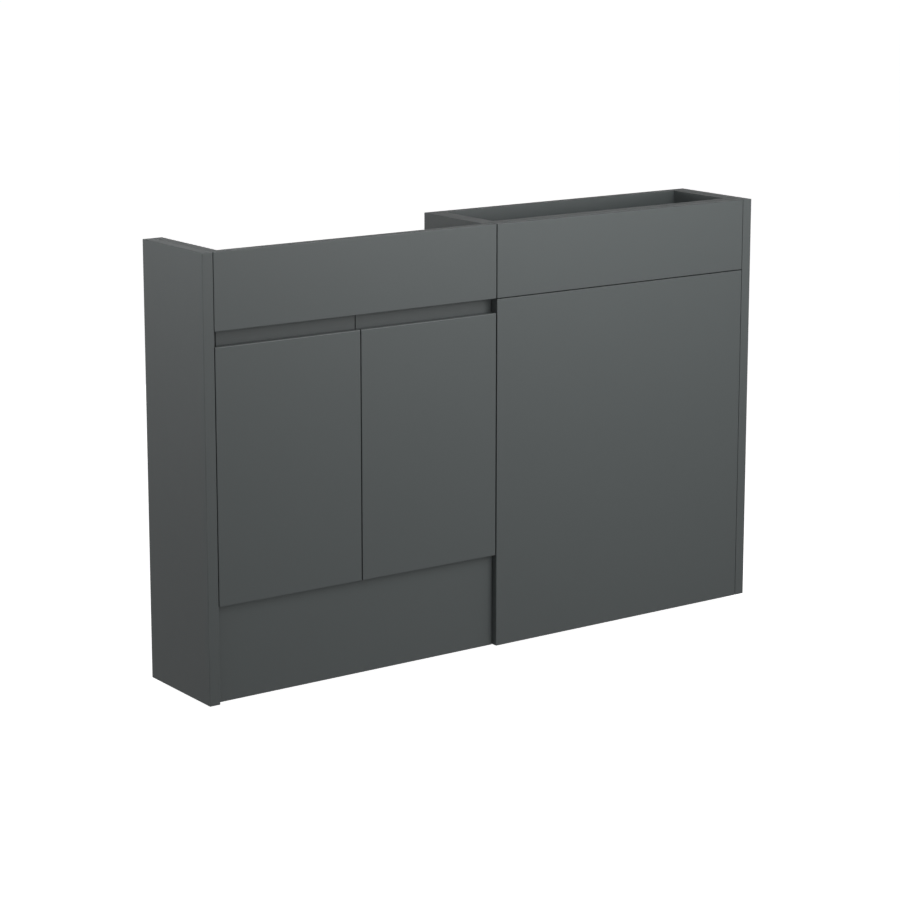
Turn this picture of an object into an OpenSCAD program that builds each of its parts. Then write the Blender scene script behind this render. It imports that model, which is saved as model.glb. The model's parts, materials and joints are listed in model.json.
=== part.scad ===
// Fitted bathroom run: a two-door basin unit and a back-to-wall pan unit between two end panels.
// Width runs along X, the fronts face -Y, and the floor is at z = 0.

/* [Units] */
// Width of each of the two units
unit_w = 600; // [500:10:700]
// Height of the whole run from the floor
height = 802; // [770:1:880]
// Depth of the whole run, fronts included
depth = 207; // [200:1:330]
// Thickness of the two end panels
end_panel_t = 21; // [18:0.5:25]
// Thickness of the carcass boards
board_t = 18; // [16:0.5:19]

/* [Fronts] */
// Thickness of the doors, fascias and front panel
front_t = 18; // [16:0.5:19]
// Gap between the back of the fronts and the carcass
front_gap = 1.5; // [1:0.1:2.5]
// Gap at the hinge edge of a door
reveal = 1.5; // [1.3:0.1:2.5]
// Gap between the two doors
meet_gap = 2; // [1.5:0.1:4]
// Gap at each side edge of a fascia or the front panel
fixed_gap = 1; // [0.8:0.1:2.5]
// Gap between the front panel and the fascia above it
panel_gap = 1.5; // [1:0.1:4]
// Height of the two upper fascias
fascia_h = 138; // [120:1:160]
// Height of the open finger gap between door and fascia
grip_gap = 27; // [22:1:35]
// Radius of the softened edges of the fronts
edge_r = 1; // [0.5:0.1:1.5]

/* [Grip] */
// Thickness of the door's lip in front of the finger groove
lip_t = 8; // [6:0.5:10]
// Depth of the finger groove below the door's top edge
groove_d = 14; // [10:0.5:18]
// Thickness of the grip strip behind the door
strip_t = 10; // [8:0.5:12]
// How far the strip stops short of the door's hinge edge
strip_inset = 12; // [10:0.5:16]
// How far the strip reaches down below the groove
strip_foot = 26; // [16:1:34]
// Gap between the top of the strip and the fascia above it
strip_gap = 1.5; // [1:0.1:2.5]
// Clearance of the gable notch around the strip
notch_gap = 1; // [0.8:0.1:3]

/* [Plinth] */
// Height of the plinth board
plinth_h = 174; // [150:1:190]
// How far the plinth stands back from the fronts
plinth_recess = 12; // [8:0.5:40]
// Gap between the plinth and the base panel above it
plinth_gap = 1; // [0.5:0.1:3]
// Gap at each end of the plinth
plinth_end_gap = 0.5; // [0.3:0.1:2]
// Gap between the base panel's lower face and the door's bottom edge
door_foot_gap = 2; // [1:0.1:4]

/* [Rails] */
// Height of the rails of the pan unit
rail_h = 80; // [70:1:100]
// Height of the rails of the basin unit
basin_rail_h = 68; // [60:1:80]
// How far the basin unit's front rail lies below the top
front_rail_drop = 52; // [40:1:60]
// How far the basin unit's upper back rail lies below the top
back_rail_drop = 62; // [40:1:120]
// Height of the pan unit's lower rails above the floor
low_rail_z = 60; // [30:1:120]

/* [Shelf] */
// Height of the shelf above the base panel
shelf_rise = 225; // [150:1:300]
// Clearance at the ends of the shelf
shelf_gap = 1.2; // [1.1:0.1:2]
// How far the shelf stands back from the carcass front
shelf_setback = 40; // [30:1:60]
// Diameter of the shelf pins and their holes
pin_d = 5; // [4:0.5:6]
// Distance between two shelf pin holes
pin_pitch = 32; // [25:1:40]
// Number of shelf pin holes in a row
pin_rows = 5; // [3:2:7]
// Depth of the shelf pin holes
pin_hole_d = 10; // [8:0.5:12]

/* [Legs] */
// Diameter of the leg tube
leg_d = 30; // [26:1:36]
// Diameter of the leg's top flange
leg_flange_d = 60; // [50:1:66]
// Diameter of the foot's pad
foot_d = 46; // [36:1:50]
// Diameter of the foot's threaded stem
stem_d = 10; // [8:0.5:12]
// Height of the bottom of the leg tube above the floor
leg_clear = 32; // [30:1:60]
// Distance of the legs from the unit's sides
leg_side = 75; // [50:1:110]
// Distance of the front legs from the plinth's back
leg_front = 40; // [36:1:60]
// Distance of the back legs from the wall
leg_back = 40; // [36:1:60]

/* [Hinges] */
// Diameter of the cup bore in the door
cup_d = 35; // [35:0.5:38]
// Depth of the cup bore
cup_depth = 13; // [12.6:0.1:13.5]
// Distance from the door's edge to the cup bore
cup_edge = 4; // [3.5:0.1:4.5]
// Distance of the hinges from the door's ends
hinge_end = 90; // [80:1:120]
// Distance of the plate screws behind the gable's front edge
plate_setback = 37; // [36:0.5:40]
// Distance between the two screws of a mounting plate
plate_pitch = 32; // [30:1:36]
// Radius of the link pins
pin_r = 1.25; // [1.1:0.05:1.4]

/* [Fittings] */
// Diameter of the cam fittings
cam_d = 15; // [12:0.5:16]
// Distance of a cam from the end of its board
cam_inset = 24; // [20:1:34]
// Diameter of the wood screws
screw_d = 4; // [3.5:0.1:5]
// Diameter of the push-fit stud's shank
stud_d = 8; // [6:0.5:10]
// Diameter of the holes for the wall screws
wall_hole_d = 6; // [5:0.5:8]
// Distance between two wall screws in one rail
wall_hole_pitch = 400; // [300:10:440]

/* [Hidden] */
$fn = 48;
eps = 0.01;

front_col = [0.35, 0.375, 0.375];
board_col = [0.31, 0.33, 0.33];
steel_col = [0.72, 0.73, 0.75];
zinc_col = [0.62, 0.63, 0.65];
nylon_col = [0.9, 0.9, 0.88];
black_col = [0.12, 0.12, 0.13];

// Places along X, from the outer face of the left end panel
overall_w = 2 * unit_w + 2 * end_panel_t;
basin_x0 = end_panel_t;
basin_x1 = basin_x0 + unit_w;
basin_mid = (basin_x0 + basin_x1) / 2;
pan_x0 = basin_x1;
pan_x1 = pan_x0 + unit_w;
basin_in0 = basin_x0 + board_t;
basin_in1 = basin_x1 - board_t;
pan_in0 = pan_x0 + board_t;
pan_in1 = pan_x1 - board_t;

// Places along Y, from the face of the fronts
carcass_y = front_t + front_gap;
rail_back_y = carcass_y + board_t;
back_rail_y = depth - board_t;
plinth_back_y = plinth_recess + board_t;
leg_y = [plinth_back_y + leg_front, depth - leg_back];
leg_x = [basin_x0 + leg_side, basin_x1 - leg_side];

// Places along Z, from the floor
carcass_z = plinth_h + plinth_gap;
fascia_z = height - fascia_h;
door_z0 = carcass_z + door_foot_gap;
door_z1 = fascia_z - grip_gap;
door_h = door_z1 - door_z0;
door_w = (unit_w - meet_gap) / 2 - reveal;
fixed_w = unit_w - 2 * fixed_gap;
strip_z0 = door_z1 - groove_d - strip_foot;
strip_z1 = fascia_z - strip_gap;
shelf_z = carcass_z + board_t + shelf_rise;
basin_front_rail_z = height - front_rail_drop - basin_rail_h;
basin_back_rail_z = height - back_rail_drop - basin_rail_h;
basin_low_rail_z = carcass_z + board_t;
pan_top_rail_z = height - rail_h;
pan_mid_rail_z = fascia_z - panel_gap - rail_h / 2;
hinge_z = [door_z0 + hinge_end, door_z1 - hinge_end];

// Fits
press_gap = 0.05;
run_gap = 0.06;
cam_gap = 0.15;
screw_gap = 0.1;

// Cam fittings
cam_h = board_t * 0.7;
cam_bolt_d = 6;
cam_bolt_screw_d = 5;
cam_bolt_bite = 10;
cam_head_d = 7;
cam_slot_w = 1.6;
cam_slot_l = 10.5;
cam_slot_d = 2;
base_cam_set = 40;
base_cam_y = [carcass_y + base_cam_set, depth - base_cam_set];

// Each rail: [x of its left end, x of its right end, y of its front face, z of its lower edge, height]
basin_rails = [
  [basin_in0, basin_in1, carcass_y, basin_front_rail_z, basin_rail_h],
  [basin_in0, basin_in1, back_rail_y, basin_back_rail_z, basin_rail_h],
  [basin_in0, basin_in1, back_rail_y, basin_low_rail_z, basin_rail_h]
];
pan_rails = [
  [pan_in0, pan_in1, carcass_y, pan_top_rail_z, rail_h],
  [pan_in0, pan_in1, carcass_y, pan_mid_rail_z, rail_h],
  [pan_in0, pan_in1, carcass_y, low_rail_z, rail_h],
  [pan_in0, pan_in1, back_rail_y, pan_top_rail_z, rail_h],
  [pan_in0, pan_in1, back_rail_y, low_rail_z, rail_h]
];

// Fixings of the fronts, as [x, z]
fixing_side = 90;
stud_drop = 40;
stud_rise = 20;
panel_low_rise = rail_h / 2;
basin_fascia_fix = [for (x = [basin_x0 + fixing_side, basin_x1 - fixing_side])
                    for (s = [-1, 1]) [x, basin_front_rail_z + basin_rail_h / 2 + s * basin_rail_h / 4]];
pan_panel_fix = [for (x = [pan_x0 + fixing_side, pan_x1 - fixing_side])
                 for (z = [low_rail_z + panel_low_rise, pan_mid_rail_z + rail_h / 4]) [x, z]];
stud_places = [for (x = [pan_x0 + fixing_side, pan_x1 - fixing_side])
               for (z = [fascia_z + stud_rise, height - stud_drop]) [x, z]];
spacer_d = 16;
screw_head_d = 8;
screw_head_h = 2.5;
panel_bite = 12;
stud_len = 12;
stud_tip = 1.5;
socket_l = stud_len + 0.5;
stud_flange_d = 15;
socket_wall = 2;

// Connectors and end panel screws, as [y, z]
connector_d = 6;
connector_head_d = 14;
connector_head_h = 2;
connector_rise = 100;
connector_drop = 60;
connector_places = [for (z = [carcass_z + connector_rise, fascia_z - connector_drop]) [depth / 2, z]];
end_screw_front = 45;
end_screw_back = 50;
end_screw_end = 150;
end_screw_places = [for (y = [carcass_y + end_screw_front, depth - end_screw_back])
                    for (z = [carcass_z + end_screw_end, height - end_screw_end]) [y, z]];
end_bite = 12;
tip_gap = 0.5;
bore_past = 1;

// Hinge, in a frame at the door's edge (u), its back face (v) and the hinge's height (w)
cup_u = cup_edge + cup_d / 2;
cup_fit = 0.05;
cup_wall = 0.9;
cup_flange_t = 0.8;
cup_screw_past = 9.5;
cup_screw_u = cup_u + cup_screw_past;
cup_screw_w = 22.5;
gable_u = board_t - reveal;
// The carrying link turns about pin a on the arm and holds the door at pin p in the cup
pin_a = [33.5, 3];
pin_p = [10, -9];
// The guide link turns about pin b on the arm, and its open finger lies beside pin q in the cup
pin_b = [34, 10];
pin_q = [9.5, -3.5];
// Bends of the two links between their pins
main_knees = [[20.3, -10.7], [35, -3.7]];
guide_knees = [[10.6, -6], [15.5, -6], [27.6, 10.8]];
link_t = 1.6;
link_hw = 6.6;
main_hw = 3.9;
guide_side_t = 2;
eye_r = pin_r + 1.35;
side_gap = 0.4;
cheek_w0 = link_hw + side_gap;
cheek_t = 1.2;
plate_t = 2.2;
plate_h = 18;
plate_screw_d = 5;
plate_bite = 11;
plate_head_h = 1.6;
boss_h = 8.5;
boss_hw = cheek_w0 - side_gap;
arm_top = gable_u + boss_h + cheek_t + 0.2;
arm_low = gable_u + plate_t + side_gap;
plate_v = front_gap + plate_setback;
plate_hw = (plate_pitch + plate_h) / 2;
clamp_past = 12;
clamp_v = plate_v + clamp_past;
arm_tail = 22;
arm_top_rise = 16;
arm_low_rise = 12;
clamp_head_h = 1.8;

// Moves a shape drawn from the left front lower corner to the part's own origin
module place() translate([-overall_w / 2, -depth / 2, 0]) children();

// A board given by its lower left front corner and its size
module board(x, y, z, w, d, h) translate([x, y, z]) cube([w, d, h]);

// A round bar or hole along X, Y or Z from a starting point
module bar_x(p, d, l) translate(p) rotate([0, 90, 0]) cylinder(h = l, d = d);
module bar_y(p, d, l) translate(p) rotate([-90, 0, 0]) cylinder(h = l, d = d);
module bar_z(p, d, l) translate(p) cylinder(h = l, d = d);

// Outline of a front seen from above, with its two front corners softened
module front_outline(w, t, r) {
  translate([r, 0]) square([w - 2 * r, t]);
  translate([0, r]) square([w, t - r]);
  for (x = [r, w - r]) translate([x, r]) circle(r);
}

// Outline of a front seen from its side, with its upper and lower front corners softened
module side_outline(t, h, r) {
  translate([r, 0]) square([t - r, h]);
  translate([0, r]) square([t, h - 2 * r]);
  for (z = [r, h - r]) translate([r, z]) circle(r);
}

// A front with its lower left corner at x and z, and all four edges of its face softened
module front_board(x, z, w, t, h) translate([x, 0, z]) intersection() {
  linear_extrude(h) front_outline(w, t, edge_r);
  rotate([90, 0, 90]) linear_extrude(w) side_outline(t, h, edge_r);
}

// Bores for one rail: cam pockets from the back face and bolt holes from both ends
module rail(r) {
  zc = r[3] + r[4] / 2;
  difference() {
    board(r[0], r[2], r[3], r[1] - r[0], board_t, r[4]);
    for (x = [r[0] + cam_inset, r[1] - cam_inset])
      bar_y([x, r[2] + board_t - cam_h - cam_gap, zc], cam_d + 2 * cam_gap, cam_h + bore_past);
    for (x = [r[0] - bore_past, r[1] - cam_inset])
      bar_x([x, r[2] + board_t / 2, zc], cam_head_d + 2 * cam_gap, cam_inset + bore_past);
  }
}

// Holes for the bolts that stand in a gable, seen from its inner face at x, going towards side s
module gable_bolt_holes(rails, x, s) {
  for (r = rails)
    bar_x([s > 0 ? x - eps : x - cam_bolt_bite, r[2] + board_t / 2, r[3] + r[4] / 2],
          cam_bolt_screw_d + 2 * press_gap, cam_bolt_bite + eps);
}

// One cam with its cross slot and its side mouth, axis along +Y, face at the origin
module cam(mouth) {
  difference() {
    translate([0, -cam_h, 0]) rotate([-90, 0, 0]) cylinder(h = cam_h, d = cam_d);
    for (a = [0, 90]) rotate([0, a, 0])
      translate([-cam_slot_l / 2, -cam_slot_d, -cam_slot_w / 2])
        cube([cam_slot_l, cam_slot_d + bore_past, cam_slot_w]);
    translate([0, -board_t / 2, 0]) rotate([0, mouth * 90, 0])
      cylinder(h = cam_d, d = cam_head_d + 2 * cam_gap);
    translate([0, -board_t / 2, 0]) sphere(d = cam_head_d + 2 * cam_gap);
  }
}

// One cam bolt along +X: thread in the gable, shaft to the cam, and a round head
module cam_bolt() {
  translate([-cam_bolt_bite, 0, 0]) rotate([0, 90, 0]) cylinder(h = cam_bolt_bite, d = cam_bolt_screw_d);
  rotate([0, 90, 0]) cylinder(h = cam_inset - cam_head_d / 4, d = cam_bolt_d);
  translate([cam_inset - cam_head_d / 2, 0, 0]) rotate([0, 90, 0])
    cylinder(h = cam_head_d / 2, d = cam_head_d);
}

// A wood screw with a domed head, drawn along +Y from the under side of its head
module screw(l) {
  rotate([-90, 0, 0]) cylinder(h = l, d = screw_d);
  intersection() {
    translate([0, screw_head_d * 0.35, 0]) sphere(d = screw_head_d * 1.22);
    translate([0, -screw_head_h, 0]) rotate([-90, 0, 0]) cylinder(h = screw_head_h, d = screw_head_d);
  }
}

// End panels

// An end panel with its outer face at x or x + end_panel_t, and screw holes that start at screw_x
module end_panel(x, screw_x) color(front_col) place() difference() {
  front_board(x, 0, end_panel_t, depth, height);
  for (p = end_screw_places) bar_x([screw_x, p[0], p[1]], screw_d + 2 * screw_gap, end_bite + tip_gap);
}

module left_end_panel() end_panel(0, end_panel_t - end_bite - tip_gap);
module right_end_panel() end_panel(overall_w - end_panel_t, overall_w - end_panel_t);

// Basin unit carcass

strip_notch_w = board_t - reveal - strip_inset + notch_gap;
strip_notch_d = front_t + strip_t + notch_gap - carcass_y;

// Notch that clears the end of the grip strip, from the inner face at x into the gable on side s
module strip_notch(x, s) if (strip_notch_w > 0)
  board(s > 0 ? x - bore_past : x - strip_notch_w, carcass_y - bore_past, strip_z0 - notch_gap,
        strip_notch_w + bore_past, strip_notch_d + bore_past, strip_z1 - strip_z0 + 2 * notch_gap);

// Two rows of shelf pin holes, from the inner face at x into the gable on side s
pin_inset = 22;
pin_flat = 1;
pin_y = [carcass_y + shelf_setback + pin_inset, back_rail_y - pin_inset];
module shelf_pin_holes(x, s) {
  for (y = pin_y) for (i = [0 : pin_rows - 1])
    bar_x([s > 0 ? x - eps : x - pin_hole_d, y,
           shelf_z - pin_flat + (i - (pin_rows - 1) / 2) * pin_pitch],
          pin_d + 2 * press_gap, pin_hole_d + eps);
}

module plate_screw_holes(x, s) {
  for (z = hinge_z) for (w = [-1, 1])
    bar_x([s > 0 ? x - eps : x - plate_bite, carcass_y + plate_setback, z + w * plate_pitch / 2],
          plate_screw_d + 2 * press_gap, plate_bite + eps);
}

module base_bolt_holes(x, s) {
  for (y = base_cam_y)
    bar_x([s > 0 ? x - eps : x - cam_bolt_bite, y, carcass_z + board_t / 2],
          cam_bolt_screw_d + 2 * press_gap, cam_bolt_bite + eps);
}

// Through holes in the gable whose left face is at x
module end_screw_holes(x) for (p = end_screw_places)
  bar_x([x - bore_past, p[0], p[1]], screw_d + 2 * screw_gap, board_t + 2 * bore_past);
module connector_holes(x) for (p = connector_places)
  bar_x([x - bore_past, p[0], p[1]], connector_d + 2 * screw_gap, board_t + 2 * bore_past);

module basin_left_gable() color(board_col) place() difference() {
  board(basin_x0, carcass_y, carcass_z, board_t, depth - carcass_y, height - carcass_z);
  strip_notch(basin_in0, -1);
  gable_bolt_holes(basin_rails, basin_in0, -1);
  base_bolt_holes(basin_in0, -1);
  shelf_pin_holes(basin_in0, -1);
  plate_screw_holes(basin_in0, -1);
  end_screw_holes(basin_x0);
}

module basin_right_gable() color(board_col) place() difference() {
  board(basin_in1, carcass_y, carcass_z, board_t, depth - carcass_y, height - carcass_z);
  strip_notch(basin_in1, 1);
  gable_bolt_holes(basin_rails, basin_in1, 1);
  base_bolt_holes(basin_in1, 1);
  shelf_pin_holes(basin_in1, 1);
  plate_screw_holes(basin_in1, 1);
  connector_holes(basin_in1);
}

module basin_base_panel() color(board_col) place() difference() {
  board(basin_in0, carcass_y, carcass_z, basin_in1 - basin_in0, depth - carcass_y, board_t);
  for (x = [basin_in0 + cam_inset, basin_in1 - cam_inset]) for (y = base_cam_y)
    bar_z([x, y, carcass_z - bore_past], cam_d + 2 * cam_gap, cam_h + cam_gap + bore_past);
  for (x = [basin_in0 - bore_past, basin_in1 - cam_inset]) for (y = base_cam_y)
    bar_x([x, y, carcass_z + board_t / 2], cam_head_d + 2 * cam_gap, cam_inset + bore_past);
}

// Holes in a front rail for the screws of a front
module fixing_holes(places) {
  for (p = places)
    bar_y([p[0], carcass_y - bore_past, p[1]], screw_d + 2 * screw_gap, board_t + 2 * bore_past);
}

// Two wall screw holes at mid height of a back rail
module wall_holes(r) {
  for (s = [-1, 1])
    bar_y([(r[0] + r[1] + s * wall_hole_pitch) / 2, back_rail_y - bore_past, r[3] + r[4] / 2],
          wall_hole_d, board_t + 2 * bore_past);
}

module basin_front_rail() color(board_col) place() difference() {
  rail(basin_rails[0]);
  fixing_holes(basin_fascia_fix);
}

module basin_upper_back_rail() color(board_col) place() difference() {
  rail(basin_rails[1]);
  wall_holes(basin_rails[1]);
}

module basin_lower_back_rail() color(board_col) place() rail(basin_rails[2]);

module basin_shelf() color(board_col) place()
  board(basin_in0 + shelf_gap, carcass_y + shelf_setback, shelf_z,
        basin_in1 - basin_in0 - 2 * shelf_gap,
        back_rail_y - carcass_y - shelf_setback - shelf_gap, board_t);

// Each pin is a peg in the gable, with a collar and a half-round rest, flat on top, under the shelf
pin_out = 12;
pin_collar = 1;
module shelf_pins() color(steel_col) place() for (y = pin_y) for (s = [0, 1])
  translate([s == 0 ? basin_in0 : basin_in1, y, shelf_z - pin_flat]) mirror([s, 0, 0]) {
    bar_x([-pin_hole_d + tip_gap, 0, 0], pin_d, pin_hole_d - tip_gap);
    bar_x([0, 0, 0], pin_d + 2 * pin_collar, pin_collar);
    difference() {
      bar_x([0, 0, 0], pin_d + 2 * pin_collar, pin_out);
      translate([pin_collar, -pin_d, pin_flat]) cube([pin_out, 2 * pin_d, pin_d]);
    }
  }

// Doors

groove_r = (front_t - lip_t) / 2;
lip_r = 2;
module groove_outline() {
  translate([lip_t + groove_r, door_h - groove_d + groove_r]) circle(groove_r);
  translate([lip_t, door_h - groove_d + groove_r]) square([front_t - lip_t + bore_past, groove_d]);
  translate([lip_t + groove_r, door_h - groove_d])
    square([front_t - lip_t - groove_r + bore_past, groove_d]);
}

// Side outline of a door: y across, z up, with the rounded lip and the finger groove behind it
module door_side() difference() {
  union() {
    translate([edge_r, 0]) square([front_t - edge_r, edge_r]);
    translate([edge_r, edge_r]) circle(edge_r);
    translate([0, edge_r]) square([front_t, door_h - edge_r - lip_r]);
    translate([lip_r, door_h - lip_r]) square([front_t - lip_r, lip_r]);
    translate([lip_r, door_h - lip_r]) circle(lip_r);
  }
  groove_outline();
}

// A left door with its lower left corner at the origin; the right door is its mirror
module door() difference() {
  intersection() {
    rotate([90, 0, 90]) linear_extrude(door_w) door_side();
    linear_extrude(door_h) front_outline(door_w, front_t, edge_r);
  }
  for (z = hinge_z) translate([0, front_t, z - door_z0]) {
    bar_y([cup_u, -cup_depth, 0], cup_d, cup_depth + bore_past);
    for (w = [-1, 1])
      bar_y([cup_screw_u, -panel_bite, w * cup_screw_w], screw_d + 2 * screw_gap, panel_bite + bore_past);
  }
}

// Sets a left-hand piece on the left door's side, or its mirror on the right door's side
module left_side() place() translate([basin_x0 + reveal, 0, 0]) children();
module right_side() place() translate([basin_x1 - reveal, 0, 0]) mirror([1, 0, 0]) children();

module left_door() color(front_col) left_side() translate([0, 0, door_z0]) door();
module right_door() color(front_col) right_side() translate([0, 0, door_z0]) door();

// The strip closes the finger gap at the back and gives the hand something to pull
module grip_strip() translate([strip_inset, front_t, strip_z0]) rotate([90, 0, 90])
  linear_extrude(door_w - strip_inset) {
    square([strip_t, strip_z1 - strip_z0 - edge_r]);
    translate([edge_r, strip_z1 - strip_z0 - edge_r]) square([strip_t - edge_r, edge_r]);
    translate([edge_r, strip_z1 - strip_z0 - edge_r]) circle(edge_r);
  }

module left_grip_strip() color(front_col) left_side() grip_strip();
module right_grip_strip() color(front_col) right_side() grip_strip();

bumper_d = 8;
bumper_side = 30;
module door_bumpers() color(nylon_col) place() for (s = [-1, 1])
  bar_y([basin_mid + s * bumper_side, front_t, carcass_z + board_t / 2], bumper_d, front_gap);

// Fascias and front panel

module panel_screw_pilots(places) {
  for (p = places)
    bar_y([p[0], front_t - panel_bite, p[1]], screw_d + 2 * screw_gap, panel_bite + bore_past);
}

module basin_fascia() color(front_col) place() difference() {
  front_board(basin_x0 + fixed_gap, fascia_z, fixed_w, front_t, fascia_h);
  panel_screw_pilots(basin_fascia_fix);
}

module pan_front_panel() color(front_col) place() difference() {
  front_board(pan_x0 + fixed_gap, 0, fixed_w, front_t, fascia_z - panel_gap);
  panel_screw_pilots(pan_panel_fix);
}

stud_bite = 10;
module pan_access_fascia() color(front_col) place() difference() {
  front_board(pan_x0 + fixed_gap, fascia_z, fixed_w, front_t, fascia_h);
  for (p = stud_places)
    bar_y([p[0], front_t - stud_bite, p[1]], stud_d + 2 * press_gap, stud_bite + bore_past);
}

// Plinth, clips, legs and feet

module plinth() color(front_col) place()
  board(basin_x0 + plinth_end_gap, plinth_recess, 0, unit_w - 2 * plinth_end_gap, board_t, plinth_h);

clip_gap = 0.3;
clip_wall = 2.6;
clip_h = 14;
clip_z = plinth_h * 0.55;
clip_pad = [44, 3, 34];
clip_past = 8;
clip_in_r = leg_d / 2 + clip_gap;
clip_out_r = clip_in_r + clip_wall;

// A pad on the plinth's back, a web and a fork that is open to the back, around a leg
module plinth_clip() {
  translate([-clip_pad[0] / 2, 0, (clip_h - clip_pad[2]) / 2]) cube(clip_pad);
  linear_extrude(clip_h) difference() {
    union() {
      translate([0, leg_front]) circle(clip_out_r);
      translate([-clip_out_r, leg_front]) square([2 * clip_out_r, clip_past]);
      translate([-clip_wall, clip_pad[1]]) square([2 * clip_wall, leg_front - clip_in_r - clip_pad[1]]);
    }
    translate([0, leg_front]) circle(clip_in_r);
    translate([-clip_in_r, leg_front]) square([2 * clip_in_r, leg_d]);
  }
}

module plinth_clips() color(black_col) place()
  for (x = leg_x) translate([x, plinth_back_y, clip_z]) plinth_clip();

leg_flange_h = 5;
leg_cone_h = 22;
leg_neck_d = leg_d + 12;
foot_bevel = 1;

// A tube that widens to a flange under the base panel, with the bore for the foot's stem
module leg() difference() {
  rotate_extrude() polygon([
    [0, leg_clear], [leg_d / 2 - foot_bevel, leg_clear], [leg_d / 2, leg_clear + foot_bevel],
    [leg_d / 2, carcass_z - leg_flange_h - leg_cone_h], [leg_neck_d / 2, carcass_z - leg_flange_h],
    [leg_flange_d / 2, carcass_z - leg_flange_h], [leg_flange_d / 2, carcass_z], [0, carcass_z]
  ]);
  translate([0, 0, leg_clear - bore_past])
    cylinder(h = carcass_z - leg_clear - leg_flange_h, d = stem_d + 2 * run_gap);
}

module plinth_legs() color(black_col) place() for (x = leg_x) for (y = leg_y) translate([x, y, 0]) leg();

foot_pad_h = 9;
foot_pad_slope = 3;
foot_hex_h = 12;
foot_stem_up = 75;

// A bevelled pad, a hexagon to turn it by and the stem that goes up into the leg
module foot() {
  rotate_extrude() polygon([
    [0, 0], [foot_d / 2 - foot_bevel, 0], [foot_d / 2, foot_bevel],
    [foot_d / 2, foot_pad_h - foot_pad_slope], [foot_d / 2 - foot_pad_slope, foot_pad_h], [0, foot_pad_h]
  ]);
  translate([0, 0, foot_pad_h]) cylinder(h = foot_hex_h, r = stem_d, $fn = 6);
  translate([0, 0, foot_pad_h]) cylinder(h = foot_stem_up, d = stem_d);
}

module foot_at(x, y) color(black_col) place() translate([x, y, 0]) foot();

// Pan unit carcass

// A gable down to the floor with its left face at x and its inner face, on side s, at inner_x
module pan_gable(x, inner_x, s) difference() {
  board(x, carcass_y, 0, board_t, depth - carcass_y, height);
  gable_bolt_holes(pan_rails, inner_x, s);
}

module pan_left_gable() color(board_col) place() difference() {
  pan_gable(pan_x0, pan_in0, -1);
  connector_holes(pan_x0);
}

module pan_right_gable() color(board_col) place() difference() {
  pan_gable(pan_in1, pan_in1, 1);
  end_screw_holes(pan_in1);
}

// Holes for the sockets of the push-fit studs in a front rail
socket_d = stud_d + 2 * run_gap + 2 * socket_wall;
module socket_holes() {
  for (p = stud_places) bar_y([p[0], carcass_y - eps, p[1]], socket_d + 2 * press_gap, socket_l + tip_gap);
}

module pan_top_front_rail() color(board_col) place() difference() {
  rail(pan_rails[0]);
  socket_holes();
}

module pan_middle_rail() color(board_col) place() difference() {
  rail(pan_rails[1]);
  socket_holes();
  fixing_holes(pan_panel_fix);
}

module pan_low_front_rail() color(board_col) place() difference() {
  rail(pan_rails[2]);
  fixing_holes(pan_panel_fix);
}

module pan_top_back_rail() color(board_col) place() difference() {
  rail(pan_rails[3]);
  wall_holes(pan_rails[3]);
}

module pan_low_back_rail() color(board_col) place() rail(pan_rails[4]);

// Small fittings

// Each stud is pressed into the back of the fascia and has a flange against the rail
module fascia_studs() color(nylon_col) place() for (p = stud_places) {
  bar_y([p[0], front_t - stud_bite + tip_gap, p[1]], stud_d,
        stud_bite - tip_gap + front_gap + stud_len - stud_tip);
  bar_y([p[0], front_t, p[1]], stud_flange_d, front_gap);
  translate([p[0], carcass_y + stud_len - stud_tip, p[1]]) rotate([-90, 0, 0])
    cylinder(h = stud_tip, d1 = stud_d, d2 = stud_d - 2 * stud_tip);
}

module fascia_sockets() color(nylon_col) place() for (p = stud_places) difference() {
  bar_y([p[0], carcass_y, p[1]], socket_d, socket_l);
  bar_y([p[0], carcass_y - bore_past, p[1]], stud_d + 2 * run_gap, socket_l + 2 * bore_past);
}

panel_fix = concat(basin_fascia_fix, pan_panel_fix);
module panel_spacers() color(nylon_col) place() for (p = panel_fix) difference() {
  bar_y([p[0], front_t, p[1]], spacer_d, front_gap);
  bar_y([p[0], front_t - bore_past, p[1]], screw_d + 2 * screw_gap, front_gap + 2 * bore_past);
}

panel_screw_l = board_t + front_gap + panel_bite - 2 * tip_gap;
module panel_screws() color(zinc_col) place() for (p = panel_fix)
  translate([p[0], rail_back_y, p[1]]) rotate([0, 0, 180]) screw(panel_screw_l);

module rail_cams(rails) for (r = rails) {
  translate([r[0] + cam_inset, r[2] + board_t, r[3] + r[4] / 2]) cam(-1);
  translate([r[1] - cam_inset, r[2] + board_t, r[3] + r[4] / 2]) cam(1);
}

module base_cams() for (y = base_cam_y) for (s = [-1, 1])
  translate([s < 0 ? basin_in0 + cam_inset : basin_in1 - cam_inset, y, carcass_z])
    rotate([-90, 0, 0]) cam(s);

module cam_fittings() color(zinc_col) place() {
  rail_cams(basin_rails);
  rail_cams(pan_rails);
  base_cams();
}

module bolt_pair(x0, x1, y, z) {
  translate([x0, y, z]) cam_bolt();
  translate([x1, y, z]) mirror([1, 0, 0]) cam_bolt();
}

module cam_bolts() color(steel_col) place() {
  for (r = concat(basin_rails, pan_rails)) bolt_pair(r[0], r[1], r[2] + board_t / 2, r[3] + r[4] / 2);
  for (y = base_cam_y) bolt_pair(basin_in0, basin_in1, y, carcass_z + board_t / 2);
}

module unit_connectors() color(zinc_col) place() for (p = connector_places) {
  bar_x([basin_in1, p[0], p[1]], connector_d, 2 * board_t);
  bar_x([basin_in1 - connector_head_h, p[0], p[1]], connector_head_d, connector_head_h);
  bar_x([pan_in0, p[0], p[1]], connector_head_d, connector_head_h);
}

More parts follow.
